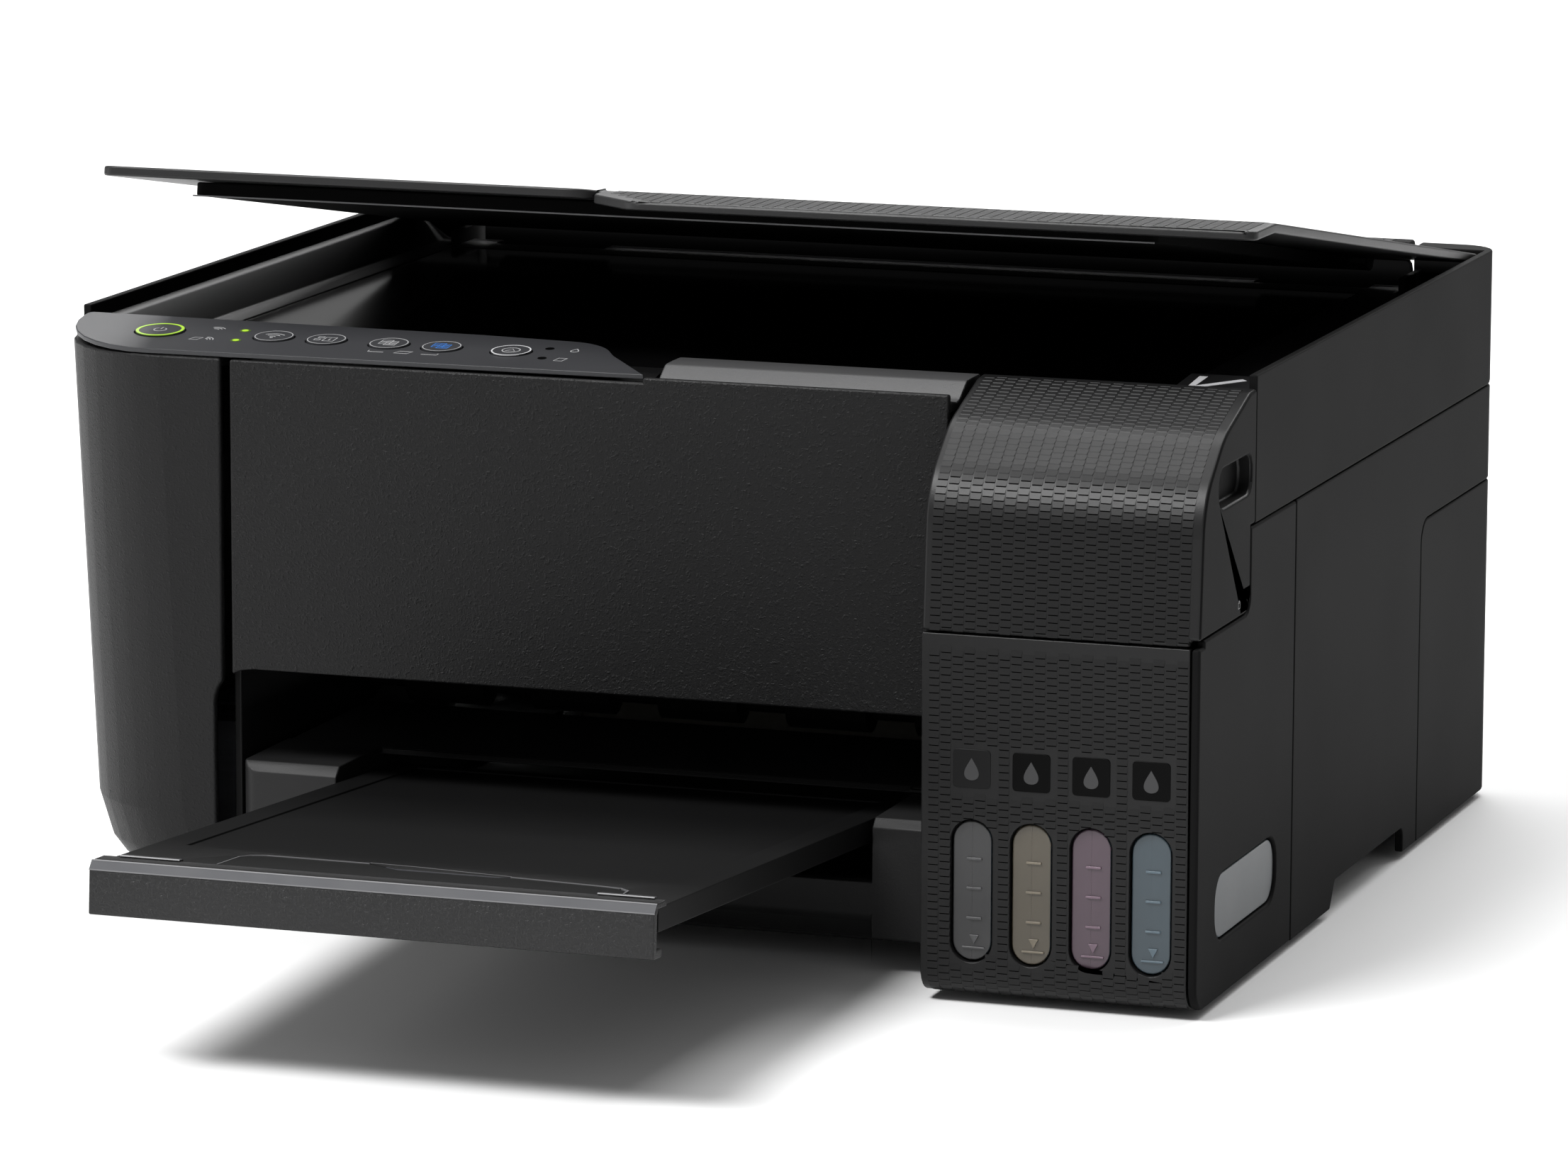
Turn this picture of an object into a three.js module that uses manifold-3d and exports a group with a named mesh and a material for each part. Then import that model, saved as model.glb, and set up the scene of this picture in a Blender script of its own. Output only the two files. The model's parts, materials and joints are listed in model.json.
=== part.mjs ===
// An all-in-one ink-tank printer, in millimetres, +Z up, +X to the right, front facing -Y.
// The design is laid out with Y = 0 at the front face of the ink tank unit, Z = 0 on the
// table and X = 0 half way across. The whole group is then centred over the origin.
import * as THREE from 'three';
import { mergeVertices } from 'three/addons/utils/BufferGeometryUtils.js';
import Module from 'manifold-3d';

const wasm = await Module();
wasm.setup();

// ---- driving dimensions ------------------------------------------------------------------
const HALF_W = 187.5;            // half of the overall width
const DEPTH = 347;               // tank face to rear face
const RIM_Z = 179;               // top of the scanner rim
const FOOT = 2;                  // the skirts stop this far above the table
const WALL = 2.6;                // thickness of the outer shells
const GAP = 0.5;                 // parting gap between shells
const SEAM_Z = 135.7;            // parting line between body and scanner unit
const COWL_Z = 108.8;            // parting line between tank cover and cowl
const TANK_X = 104.6;            // left side of the ink tank unit
const FACE_Y = 28;               // front plane of the main body
const PANEL_X = -122;            // left edge of the front panel
const PANEL_Z = 77.6;            // lower edge of the front panel, top of the output slot
const COLUMN_Y = 68.6;           // back end of the left front column
const FRAME_X = [-158, 156];     // left faces of the two roller frames
const FRAME_T = 3;
const SIDE_SEAM_Y = 101.5;       // tank side cover meets the right side panel
const REAR_SEAM_Y = 250.4;       // right side panel meets the rear housing
const REAR_SEAM_Z = 104.2;
const COWL_BACK_Y = 56;          // back edge of the cowl's side
const PIVOT = { y: 333, z: 174 };// scanner unit hinge line, along X
const LID_AXIS = { y: 329, z: 174.5 };  // document cover hinge line, along X
const LID_OPEN = 9.5;            // the cover is stored open by this many degrees
const TRAY_TILT = 0.067;         // the output tray rises towards its front
const TRAY_Z = 47.1;             // tray surface level at Y = 0
const TRAY = { x0: -87.6, x1: 78.6, front: -150, back: 75 };
const WINDOW = { first: 119.9, pitch: 17.9, w: 11.7, z0: 12.8, z1: 53.9 };
const FEED_Y = 200;              // feed roller axis
const EJECT_Y = 150;             // eject roller axis
const IDLER_Y = (EJECT_Y + FEED_Y) / 2;
const PINION_Y = 224;            // feed motor axis
const GEAR_Z = 53;
const GEAR_X = [-153, -147];
const RAIL_Y = 219;
const INKS = ['black', 'yellow', 'magenta', 'cyan'];

// ---- small geometry kit -------------------------------------------------------------------
const deg = THREE.MathUtils.degToRad;

function solidOf(geometry) {
  const bare = geometry.index ? geometry.toNonIndexed() : geometry.clone();
  bare.deleteAttribute('normal');
  bare.deleteAttribute('uv');
  const merged = mergeVertices(bare, 1e-4);
  return new wasm.Manifold(new wasm.Mesh({
    numProp: 3,
    vertProperties: new Float32Array(merged.attributes.position.array),
    triVerts: new Uint32Array(merged.index.array),
  }));
}

function geometryOf(solid) {
  const mesh = solid.getMesh();
  const geometry = new THREE.BufferGeometry();
  geometry.setAttribute('position', new THREE.BufferAttribute(mesh.vertProperties, 3));
  geometry.setIndex(new THREE.BufferAttribute(mesh.triVerts, 1));
  geometry.computeVertexNormals();
  return geometry;
}

const join = (...solids) => solids.reduce((whole, piece) => whole.add(piece));
const cut = (solid, ...tools) => tools.reduce((rest, tool) => rest.subtract(tool), solid);

function box(x0, x1, y0, y1, z0, z1) {
  const geometry = new THREE.BoxGeometry(x1 - x0, y1 - y0, z1 - z0);
  return solidOf(geometry.translate((x0 + x1) / 2, (y0 + y1) / 2, (z0 + z1) / 2));
}

// A corner list [u, v, radius] becomes a list of points, each corner rounded by an arc.
function rounded(corners, steps = 6) {
  const points = [];
  corners.forEach(([u, v, radius = 0], i) => {
    const here = new THREE.Vector2(u, v);
    if (!radius) return points.push(here);
    const before = new THREE.Vector2(...corners.at(i - 1).slice(0, 2)).sub(here).normalize();
    const after = new THREE.Vector2(...corners[(i + 1) % corners.length].slice(0, 2)).sub(here).normalize();
    const half = Math.acos(THREE.MathUtils.clamp(before.dot(after), -1, 1)) / 2;
    const start = here.clone().addScaledVector(before, radius / Math.tan(half));
    const centre = here.clone().addScaledVector(before.clone().add(after).normalize(), radius / Math.sin(half));
    const turn = Math.PI - 2 * half;
    const side = Math.sign(before.x * after.y - before.y * after.x);
    for (let k = 0; k <= steps; k++) points.push(start.clone().rotateAround(centre, -side * turn * k / steps));
  });
  return points;
}

// Extrudes an outline. Along 'x' the outline is (y, z), along 'y' it is (x, z), along 'z' it is (x, y).
function prism(axis, from, to, points) {
  const geometry = new THREE.ExtrudeGeometry(new THREE.Shape(points), { depth: to - from, bevelEnabled: false });
  const placed = {
    x: new THREE.Matrix4().set(0, 0, 1, from, 1, 0, 0, 0, 0, 1, 0, 0, 0, 0, 0, 1),
    y: new THREE.Matrix4().set(1, 0, 0, 0, 0, 0, -1, to, 0, 1, 0, 0, 0, 0, 0, 1),
    z: new THREE.Matrix4().makeTranslation(0, 0, from),
  }[axis];
  return solidOf(geometry.applyMatrix4(placed));
}

const block = (axis, from, to, corners, steps) => prism(axis, from, to, rounded(corners, steps));
const rectangle = (u0, u1, v0, v1, r = 0) => [[u0, v0, r], [u1, v0, r], [u1, v1, r], [u0, v1, r]];
const bar = (axis, from, to, u0, u1, v0, v1, r, steps) => block(axis, from, to, rectangle(u0, u1, v0, v1, r), steps);

function rod(axis, from, to, u, v, radius, sides = 20) {
  const points = Array.from({ length: sides }, (_, i) => {
    const angle = 2 * Math.PI * i / sides;
    return new THREE.Vector2(u + radius * Math.cos(angle), v + radius * Math.sin(angle));
  });
  return prism(axis, from, to, points);
}

// Joins rings of points, all with the same count, into one closed solid with flat ends.
function loft(rings) {
  const count = rings[0].length;
  const positions = rings.flat().flatMap((p) => [p.x, p.y, p.z]);
  const index = [];
  for (let r = 0; r + 1 < rings.length; r++) {
    for (let i = 0; i < count; i++) {
      const j = (i + 1) % count;
      const a = r * count;
      index.push(a + i, a + j, a + count + j, a + i, a + count + j, a + count + i);
    }
  }
  const caps = THREE.ShapeUtils.triangulateShape(rings[0].map((p) => new THREE.Vector2(p.x, p.y)), []);
  const last = (rings.length - 1) * count;
  caps.forEach(([a, b, c]) => index.push(a, c, b, last + a, last + b, last + c));
  const geometry = new THREE.BufferGeometry();
  geometry.setAttribute('position', new THREE.Float32BufferAttribute(positions, 3));
  geometry.setIndex(index);
  return solidOf(geometry);
}

function turned(solid, axis, angle, pivot) {
  const matrix = new THREE.Matrix4().makeRotationAxis(axis, deg(angle));
  const geometry = geometryOf(solid).translate(-pivot[0], -pivot[1], -pivot[2]);
  return solidOf(geometry.applyMatrix4(matrix).translate(...pivot));
}

// ---- the scene graph ----------------------------------------------------------------------
const printer = new THREE.Group();
const tiltedTray = new THREE.Group();
tiltedTray.position.z = TRAY_Z;
tiltedTray.rotation.x = -TRAY_TILT;
printer.add(tiltedTray);

const plastic = (color, roughness = 0.55) => new THREE.MeshStandardMaterial({ color, roughness, metalness: 0 });
const metal = (color) => new THREE.MeshStandardMaterial({ color, roughness: 0.35, metalness: 0.9 });
const BLACK = plastic(0x262627);
const SIDE = plastic(0x2d2d2e);
const LIFTED = plastic(0x3a3a3b);
const TRAY_BLACK = plastic(0x1e1e1f);
const INNER = plastic(0x121213, 0.4);
const RUBBER = plastic(0x151515, 0.9);
const STEEL = metal(0x9a9ca0);
const NYLON = plastic(0xd8d6ce, 0.5);

function add(name, material, solid, parent = printer) {
  const mesh = new THREE.Mesh(geometryOf(solid), material);
  mesh.name = name;
  parent.add(mesh);
}

// ---- body shells --------------------------------------------------------------------------
// Left housing: rounded plan corners, a slight draft on the side and a rounded lower edge.
function leftOuter(z, inset) {
  const draft = 0.048 * (RIM_Z - z);
  const edge = Math.min(1, (z - 8) / 24);
  const roll = 22 * (1 - Math.sqrt(1 - (1 - edge) ** 2));
  const x0 = -HALF_W + draft + roll + inset;
  const y0 = FACE_Y + roll * 0.18 + inset;
  const y1 = DEPTH - roll * 0.18 - inset;
  const corner = Math.min(42 - inset, PANEL_X - 4 - x0);
  const plan = [[x0, y0, corner], [PANEL_X - 3, y0, 0], [PANEL_X - 3, y1, 0], [x0, y1, 12 - inset]];
  return rounded(plan, 8).map((p) => new THREE.Vector3(p.x, p.y, z));
}

const LEVELS = [8, 9, 11, 14.5, 19.5, 32, 90, 171.4];

function leftHousing() {
  const outer = loft(LEVELS.map((z) => leftOuter(z, 0)));
  const inner = loft(LEVELS.map((z) => leftOuter(z, WALL)));
  const hollow = inner.translate([0, 0, WALL]);
  const mouth = box(PANEL_X - 6, PANEL_X, FACE_Y + 12, DEPTH - 6, 12, 200);
  const bandStep = box(-200, PANEL_X, COLUMN_Y, DEPTH + 5, SEAM_Z - GAP, 200);
  const backOpening = box(-173.6, PANEL_X, DEPTH - 20, DEPTH + 5, 12, 200);
  const panelTop = box(-200, PANEL_X, 0, COLUMN_Y + 10, 171.4, 200);
  const roof = box(-170, PANEL_X - 3, FACE_Y + 2, COLUMN_Y - GAP, 168.6, 171.4).intersect(outer);
  const swingRoom = block('x', -200, PANEL_X, [[68.4, 135, 0], [68.1, 140, 0], [67, 150, 0], [66.3, 160, 0],
    [65.9, 173, 0], [80, 173, 0], [80, 135, 0]]);
  const slotCorner = block('y', 0, FACE_Y + 13, [[-127.6, 0, 0], [-127.6, PANEL_Z, 11], [-100, PANEL_Z, 0],
    [-100, 0, 0]], 8);
  return cut(join(cut(outer, hollow, mouth), roof), bandStep, backOpening, panelTop, swingRoom, slotCorner);
}

// Right side panel with the hand grip in its lower edge.
function rightSidePanel() {
  const plan = rounded([
    [HALF_W, SIDE_SEAM_Y + GAP, 0], [HALF_W, DEPTH, 12], [174, DEPTH, 0], [174, DEPTH - WALL, 0],
    [HALF_W - WALL, DEPTH - WALL, 12 - WALL], [HALF_W - WALL, SIDE_SEAM_Y + GAP, 0],
  ], 6);
  const full = prism('z', FOOT, SEAM_Z - GAP, plan);
  const rearCut = block('x', 160, 200, [[REAR_SEAM_Y, 0, 0], [360, 0, 0], [360, REAR_SEAM_Z + GAP, 0],
    [REAR_SEAM_Y, REAR_SEAM_Z + GAP, 8]]);
  const grip = block('x', 160, 200, [[145.5, 0, 0], [234, 0, 0], [234, 10, 3], [152.5, 10, 3]]);
  return cut(full, rearCut, grip);
}

// Rear housing: back wall with the wrapped corner, the recess for the paper support,
// and the slanted hopper that carries the paper down to the feed roller.
function rearHousing() {
  const corner = rounded([
    [HALF_W, REAR_SEAM_Y + GAP, 0], [HALF_W, DEPTH, 12], [-173, DEPTH, 0], [-173, DEPTH - WALL, 0],
    [HALF_W - WALL, DEPTH - WALL, 12 - WALL], [HALF_W - WALL, REAR_SEAM_Y + GAP, 0],
  ], 6);
  const low = prism('z', FOOT, REAR_SEAM_Z, corner);
  const high = box(-173, 173.4, DEPTH - WALL, DEPTH, REAR_SEAM_Z - 1, SEAM_Z - GAP);
  const support = box(-161, 161, DEPTH - 10, DEPTH + 5, 56, 200);
  const hopper = prism('x', -125, 125, rounded([[285, 72], [288, 70], [337, 126], [337, 131], [335, 131]], 1));
  const shelf = box(-163, 163, 330, DEPTH - 1, 50, 54);
  const bridge = [-125, 121].map((x) => prism('x', x, x + 4, rounded([[300, 88], [318, 52], [335, 52], [336, 128]], 1)));
  const inlet = box(-160, -130, DEPTH - 5, DEPTH + 5, 20, 42);
  const usb = box(-170.5, -156.5, DEPTH - 5, DEPTH + 5, 59, 71);
  const wrap = block('x', -200, 200, [[REAR_SEAM_Y + GAP, 0, 0], [360, 0, 0], [360, 200, 0], [300, 200, 0],
    [300, REAR_SEAM_Z, 0], [REAR_SEAM_Y + GAP, REAR_SEAM_Z, 7.6]]);
  const leftFoot = box(-200, PANEL_X - 2.4, 300, 360, 0, 12.4);
  const wall = cut(join(low, high).intersect(wrap), support);
  return cut(join(wall, shelf, hopper, ...bridge), inlet, usb, leftFoot);
}

// Lower chassis: floor, output slot walls, the two fixed blocks and the roller frames.
function baseCase() {
  const floor = block('z', 8, 11, [[PANEL_X, 36, 0], [102, 36, 0], [102, 104, 0], [183, 104, 0], [183, 342, 10],
    [PANEL_X, 342, 0]]);
  const sideDeck = box(FRAME_X[0], PANEL_X + 4, 60, 300, 12.2, 14.6);
  const riser = box(PANEL_X + 0.5, PANEL_X + 4, 60, 300, 8, 14.6);
  const lip = block('x', -121.5, 104, [[29, 27, 0], [33, 27, 0], [40, 11, 0], [40, 8, 0], [37, 8, 5], [29, 16, 4]]);
  const slotLeft = box(-126.6, -124.2, 40.6, 142, 12.2, 76.8);
  const slotRight = box(101.5, 104, 29, 142, 8, 76.8);
  const left = block('x', -120, -88.9, [[29, 10, 0], [29, 46.2, 0.8], [32, 49.2, 0.8], [66, 49.2, 0], [66, 10, 0]], 2)
    .intersect(block('z', 5, 60, [[-120, 29, 5], [-88.9, 29, 0], [-88.9, 66, 0], [-120, 66, 0]], 5));
  const right = block('x', 80.2, 102, [[29, 10, 0], [29, 43.4, 0.8], [31.6, 46, 0.8], [66, 46, 0], [66, 10, 0]], 2);
  const deck = block('x', -120, 103, [[65, 46.6, 0], [66.5, 48.6, 0], [132, 48.6, 0], [136, 46.2, 0]]);
  const rails = [[-120, -88.9], [80.2, 103]].map(([x0, x1]) => box(x0, x1, 65.5, 136, 10, 48));
  const frames = FRAME_X.map((x) => box(x, x + FRAME_T, 142, 296, x < 0 ? 13 : 8, 120));
  const notches = [EJECT_Y, FEED_Y].map((y) => box(-165, 165, y - 3.4, y + 3.4, GEAR_Z - 3.4, 130));
  const stub = rod('x', FRAME_X[0] + 1, GEAR_X[1] + 0.5, IDLER_Y, GEAR_Z, 1.6, 12);
  const chassis = cut(join(floor, sideDeck, riser, ...frames), ...notches);
  return join(chassis, lip, slotLeft, slotRight, left, right, deck, ...rails, stub);
}

// Ink tank unit -------------------------------------------------------------------------------
const windowX = INKS.map((_, i) => WINDOW.first + i * WINDOW.pitch);
const stadium = (x, grow) => rectangle(x - WINDOW.w / 2 - grow, x + WINDOW.w / 2 + grow,
  WINDOW.z0 - grow, WINDOW.z1 + grow, WINDOW.w / 2 + grow - 0.01);
const tankProfile = (inset) => [[inset, COWL_Z - GAP + inset, 0], [inset, FOOT + inset, 8 - inset],
  [SIDE_SEAM_Y, FOOT + inset, 0], [SIDE_SEAM_Y, COWL_Z - GAP + inset, 0]];

function tankFrontCover() {
  const right = HALF_W - WALL - 0.4;
  const outer = block('x', TANK_X, right, tankProfile(0));
  const inner = block('x', TANK_X + WALL, right + 5, tankProfile(WALL));
  const back = box(TANK_X + WALL, right + 5, 50, 120, FOOT + WALL, 120);
  const windows = windowX.map((x) => block('y', -5, 5, stadium(x, 0.5), 8));
  return cut(outer, inner, back, ...windows);
}

const sideWindow = (grow) => block('x', 160, 200, rectangle(20 - grow, 84 + grow, 19 - grow, 38 + grow, 8 + grow), 6);

function tankSideCover() {
  const profile = [[0, 110.2, 0], [0, FOOT, 8], [SIDE_SEAM_Y, FOOT, 0], [SIDE_SEAM_Y, SEAM_Z - GAP, 0],
    [COWL_BACK_Y - 3.5, SEAM_Z - GAP, 0], [COWL_BACK_Y - 3.5, 110.2, 5]];
  return cut(block('x', HALF_W - WALL, HALF_W, profile), sideWindow(0.5), box(180, 190, -1, 5, 108.3, 112));
}

// Each tank is an open-necked bottle behind its window.
function inkTank(x, isOuter) {
  const half = 8.5;
  const body = bar('z', 8, 94, x - half, x + half, 6, 97, 1.5, 2);
  const boss = block('y', 1.2, 7, stadium(x, 0), 8);
  const neck = rod('z', 93, 97, x, 48, 6);
  const hollow = bar('z', 10, 92, x - half + 2, x + half - 2, 8, 95, 1, 2);
  const mouth = rod('z', 90, 99, x, 48, 4);
  const bulge = sideWindow(0).intersect(box(x + half - 1, HALF_W - 0.8, 0, 100, 0, 60));
  return cut(join(body, boss, neck, ...(isOuter ? [bulge] : [])), hollow, mouth);
}

function inkCap(x) {
  const lid = bar('z', 97.4, 99.6, x - 7.5, x + 7.5, 36, 66, 4, 4);
  const plug = rod('z', 94, 98, x, 48, 3.4);
  const knuckle = rod('x', x - 6, x + 6, 66, 98.5, 1.6, 10);
  return join(lid, plug, knuckle);
}

function tankInnerCover() {
  const lid = bar('z', 102.5, 105, TANK_X + 4, HALF_W - WALL - 2, 8, 98, 6, 4);
  const tab = bar('z', 104.5, 106.5, 138, 154, 10, 22, 2, 3);
  const knuckle = rod('x', TANK_X + 6, HALF_W - WALL - 4, 98, 103.7, 2, 10);
  return join(lid, tab, knuckle);
}

// Output tray, in the tilted frame: its surface is Z = 0 -------------------------------------------
const flapOutline = (grow) => [[-57 - grow, -145.8, 0], [62 + grow, -145.8, 0], [62 + grow, -124, 9],
  [26, -119 + grow, 3], [22, -121 + grow, 2], [-10, -121 + grow, 2], [-20, -115 + grow, 3], [-57 - grow, -115 + grow, 7]];

function outputTray() {
  const plate = box(TRAY.x0, TRAY.x1, TRAY.front, TRAY.back, -3, 0);
  const ribs = [TRAY.x0, TRAY.x1 - 3].map((x) => box(x, x + 3, TRAY.front, TRAY.back, -7, -2));
  const step = box(TRAY.x0 + 9, TRAY.x1 - 9, -108, TRAY.back - 6, -0.6, 2);
  const recess = block('z', -2.2, 2, flapOutline(0.6), 4);
  return cut(join(plate, ...ribs), step, recess);
}

// The front bar is a C-section, open to the rear, with a chamfered upper edge.
function trayFrontBar() {
  const section = [[-157.3, -13.5, 0.6], [-157.3, -0.8, 0.4], [-155.3, 1.7, 0.4], [-147.5, 1.9, 0.4], [-147.5, 0.15, 0],
    [-153.8, 0.15, 0], [-154.8, -1.4, 0], [-154.8, -11.1, 0], [-150.6, -11.1, 0], [-150.6, -13.5, 0.6]];
  const profile = block('x', TRAY.x0 + 0.9, TRAY.x1 + 1.4, section, 2);
  const ends = [TRAY.x0 + 3, TRAY.x1 - 6].map((x) => box(x, x + 4, -155.5, -150.4, -12, 1));
  return join(profile, ...ends);
}

function trayStopper() {
  const leaf = cut(block('z', -1.9, -0.2, flapOutline(0), 4), box(-60, 65, -147, -144.4, -3, 1));
  const pins = [-55, 58].map((x) => rod('x', x, x + 3, -143.8, -1.05, 0.85, 10));
  return join(leaf, ...pins);
}

// Scanner unit -------------------------------------------------------------------------------
const CHEEK_X = [-164, 161.7];
const bandPlan = (inset) => {
  const e = HALF_W - inset;
  return [[-e, COLUMN_Y + GAP + inset, 0], [e, COWL_BACK_Y + GAP + inset, 0], [e, DEPTH - inset, 12 - inset],
    [-e, DEPTH - inset, 12 - inset]];
};

function scannerBase() {
  const outer = block('z', SEAM_Z, RIM_Z, bandPlan(0), 6);
  const hollow = block('z', SEAM_Z + 3.5, 200, bandPlan(WALL), 6);
  const frontLeft = box(-200, 108, 0, COLUMN_Y + GAP, SEAM_Z - 5, 200);
  const cowlSide = box(100, 200, 0, COWL_BACK_Y + GAP, SEAM_Z - 5, 200);
  const rimStep = box(-184.9, 184.9, 0, 80, 162.8, 200);
  const beam = box(PANEL_X + 1, 103, 40, COLUMN_Y + 6, SEAM_Z, SEAM_Z + 4);
  const beamWall = box(PANEL_X + 1, 184.9, 60, 64, SEAM_Z, 162.8);
  const feeder = block('x', -161.5, 161.5, [[318, SEAM_Z - 2, 0], [360, SEAM_Z - 2, 0], [360, 200, 0], [334, 200, 0],
    [334, 168, 0]]);
  const heel = block('x', -200, 200, [[335, SEAM_Z - 1, 0], [360, SEAM_Z - 1, 0], [360, SEAM_Z + 4.5, 0],
    [344, SEAM_Z + 4, 0]]);
  const rearWall = block('x', -163.5, 163.5, [[314, SEAM_Z + 1, 0], [317.6, SEAM_Z + 1, 0], [331, 163.2, 0],
    [327.4, 163.2, 0]]);
  const cheeks = CHEEK_X.map((x) => box(x, x + 2.3, 316, DEPTH - 1, SEAM_Z + 5, RIM_Z - 7.6));
  const cornerPiece = (x0, x1, leftR, rightR) => block('z', RIM_Z - 8.5, RIM_Z,
    [[x0, 335.5, 0], [x1, 335.5, 0], [x1, DEPTH - 1, rightR], [x0, DEPTH - 1, leftR]], 6);
  const corners = [cornerPiece(1 - HALF_W, -161.7, 10, 1), cornerPiece(161.7, HALF_W - 1, 1, 10)];
  const posts = [-166, 162].map((x) => bar('x', x, x + 4, 191, 209, SEAM_Z + 3, 149, 2, 2));
  const rodHole = rod('x', -170, 170, 200, 145, 3.3);
  const shell = cut(outer, hollow, frontLeft, cowlSide, rimStep, feeder);
  return cut(join(shell, beam, beamWall, rearWall, ...cheeks, ...corners, ...posts), rodHole, heel);
}

const BED = { x0: -184.4, x1: 184.4, y0: 66, y1: 330, top: 167 };
const GLASS = { x0: -160, x1: 150, y0: 84, y1: 308 };

// Top frame: a flat bed with sloping margins that rise to the rim.
function scannerFrame() {
  const plate = block('z', 163.6, BED.top, [[PANEL_X, BED.y0, 0], [TANK_X, BED.y0, 0], [TANK_X, COWL_BACK_Y + 1, 0],
    [BED.x1, COWL_BACK_Y + 1, 0], [BED.x1, BED.y1, 0], [BED.x0, BED.y1, 0], [BED.x0, BED.y0 + 6, 0],
    [PANEL_X, BED.y0 + 6, 0]]);
  const left = block('y', BED.y0 + 6, BED.y1, [[BED.x0, BED.top - 1, 0], [BED.x0 + 16, BED.top - 1, 0],
    [BED.x0 + 4, 174.4, 3], [BED.x0, 174.8, 0]], 4);
  const pane = box(GLASS.x0 - 0.4, GLASS.x1 + 0.4, GLASS.y0 - 0.4, GLASS.y1 + 0.4, 164.8, 200);
  const opening = box(GLASS.x0 + 3, GLASS.x1 - 3, GLASS.y0 + 3, GLASS.y1 - 3, 150, 200);
  const hinges = [-150, 112].map((x) => box(x, x + 38, 321.5, 336, 160, 200));
  const cheekSlots = CHEEK_X.map((x) => box(x - 0.4, x + 2.7, 312, 340, 150, 200));
  return cut(join(plate, left), pane, opening, ...cheekSlots, ...hinges);
}

function scanHead() {
  const head = bar('z', 149.3, 160, -150, -132, 86, 306, 3, 2);
  const saddle = box(-149, -133, 190, 210, 139.7, 150);
  const bearing = rod('x', -160, -120, 200, 145, 3.3);
  return cut(join(head, saddle), bearing);
}

// Control panel: rises 6 degrees from its front edge and ends in a sweep on the right.
const PANEL_TILT = 5.9;
const panelOutline = rounded([[-184.6, 67.6, 2], [-184.6, FACE_Y, 36], [8.5, 30.4, 0], [-8, 50, 14], [-16, 63, 18], [-55, 65.5, 0]], 8);
const panelPivot = [0, 30, 173.3];
const BUTTONS = { power: [-153.5, 49.6, 7.6], wireless: [-116.4, 49.6, 6.2], status: [-99.3, 49.3, 6.2],
  copy_mono: [-78.9, 48.7, 6.2], copy_colour: [-61.9, 48.4, 6.2], stop: [-39.7, 48.2, 6.2] };
const tiltPanel = (solid) => turned(solid, new THREE.Vector3(1, 0, 0), PANEL_TILT, panelPivot);
const buttonHole = ([x, y, r], grow) => {
  const points = Array.from({ length: 24 }, (_, i) => {
    const angle = 2 * Math.PI * i / 24;
    return new THREE.Vector2(x + (r + grow) * Math.cos(angle), y + (r * 0.96 + grow) * Math.sin(angle));
  });
  return points;
};

function controlPanel() {
  const plate = prism('z', 171.9 - 0.1, 173.3, panelOutline);
  const holes = Object.values(BUTTONS).map((button) => prism('z', 165, 180, buttonHole(button, 0.3)));
  return tiltPanel(cut(plate, ...holes));
}

const button = (place) => tiltPanel(prism('z', 172.3, 173.7, buttonHole(place, 0)));

// Front panel: a plain leaf with turned-in edges and the finger groove behind its top edge.
function frontPanel() {
  const leaf = block('y', FACE_Y, FACE_Y + WALL, [[PANEL_X, PANEL_Z - 1.8, 0], [PANEL_X + 3, PANEL_Z - 0.5, 2],
    [PANEL_X + 7, PANEL_Z, 4], [TANK_X - GAP - 1, PANEL_Z, 0],
    [TANK_X - GAP - 1, 172.7, 0], [9, 172.7, 0], [9, 171.2, 0], [PANEL_X, 171.2, 0]], 6);
  const sill = box(PANEL_X + 12, TANK_X - GAP - 1, FACE_Y + 1, FACE_Y + 14, PANEL_Z, PANEL_Z + 2.4);
  const groove = block('x', 9.5, TANK_X - GAP - 1, [[FACE_Y + 1, 170.2, 0], [FACE_Y + 1, 167, 0], [59, 167, 0],
    [59, 174.6, 0], [52, 174.6, 1], [46, 174.4, 3], [38, 169.4, 6], [FACE_Y + 3, 170.6, 2]], 4);
  const shoulder = box(PANEL_X + 1, 9.6, FACE_Y + 1, 59, 167, 169.5);
  const legs = [-110, -30, 90].map((x) => box(x, x + 3, FACE_Y + 1, 59, 140.5, 168));
  return join(leaf, sill, groove, shoulder, ...legs);
}

// Cowl over the ink tanks: a swept shell with a right cheek.
const cowlTop = (inset) => [[inset, COWL_Z, 0], [58, COWL_Z, 0], [58, 175.4 - inset, 0], [50, 174.8 - inset, 6],
  [23.5, 166.2 - inset * 1.1, 28], [3.2 + inset, 150, 24]];

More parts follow.
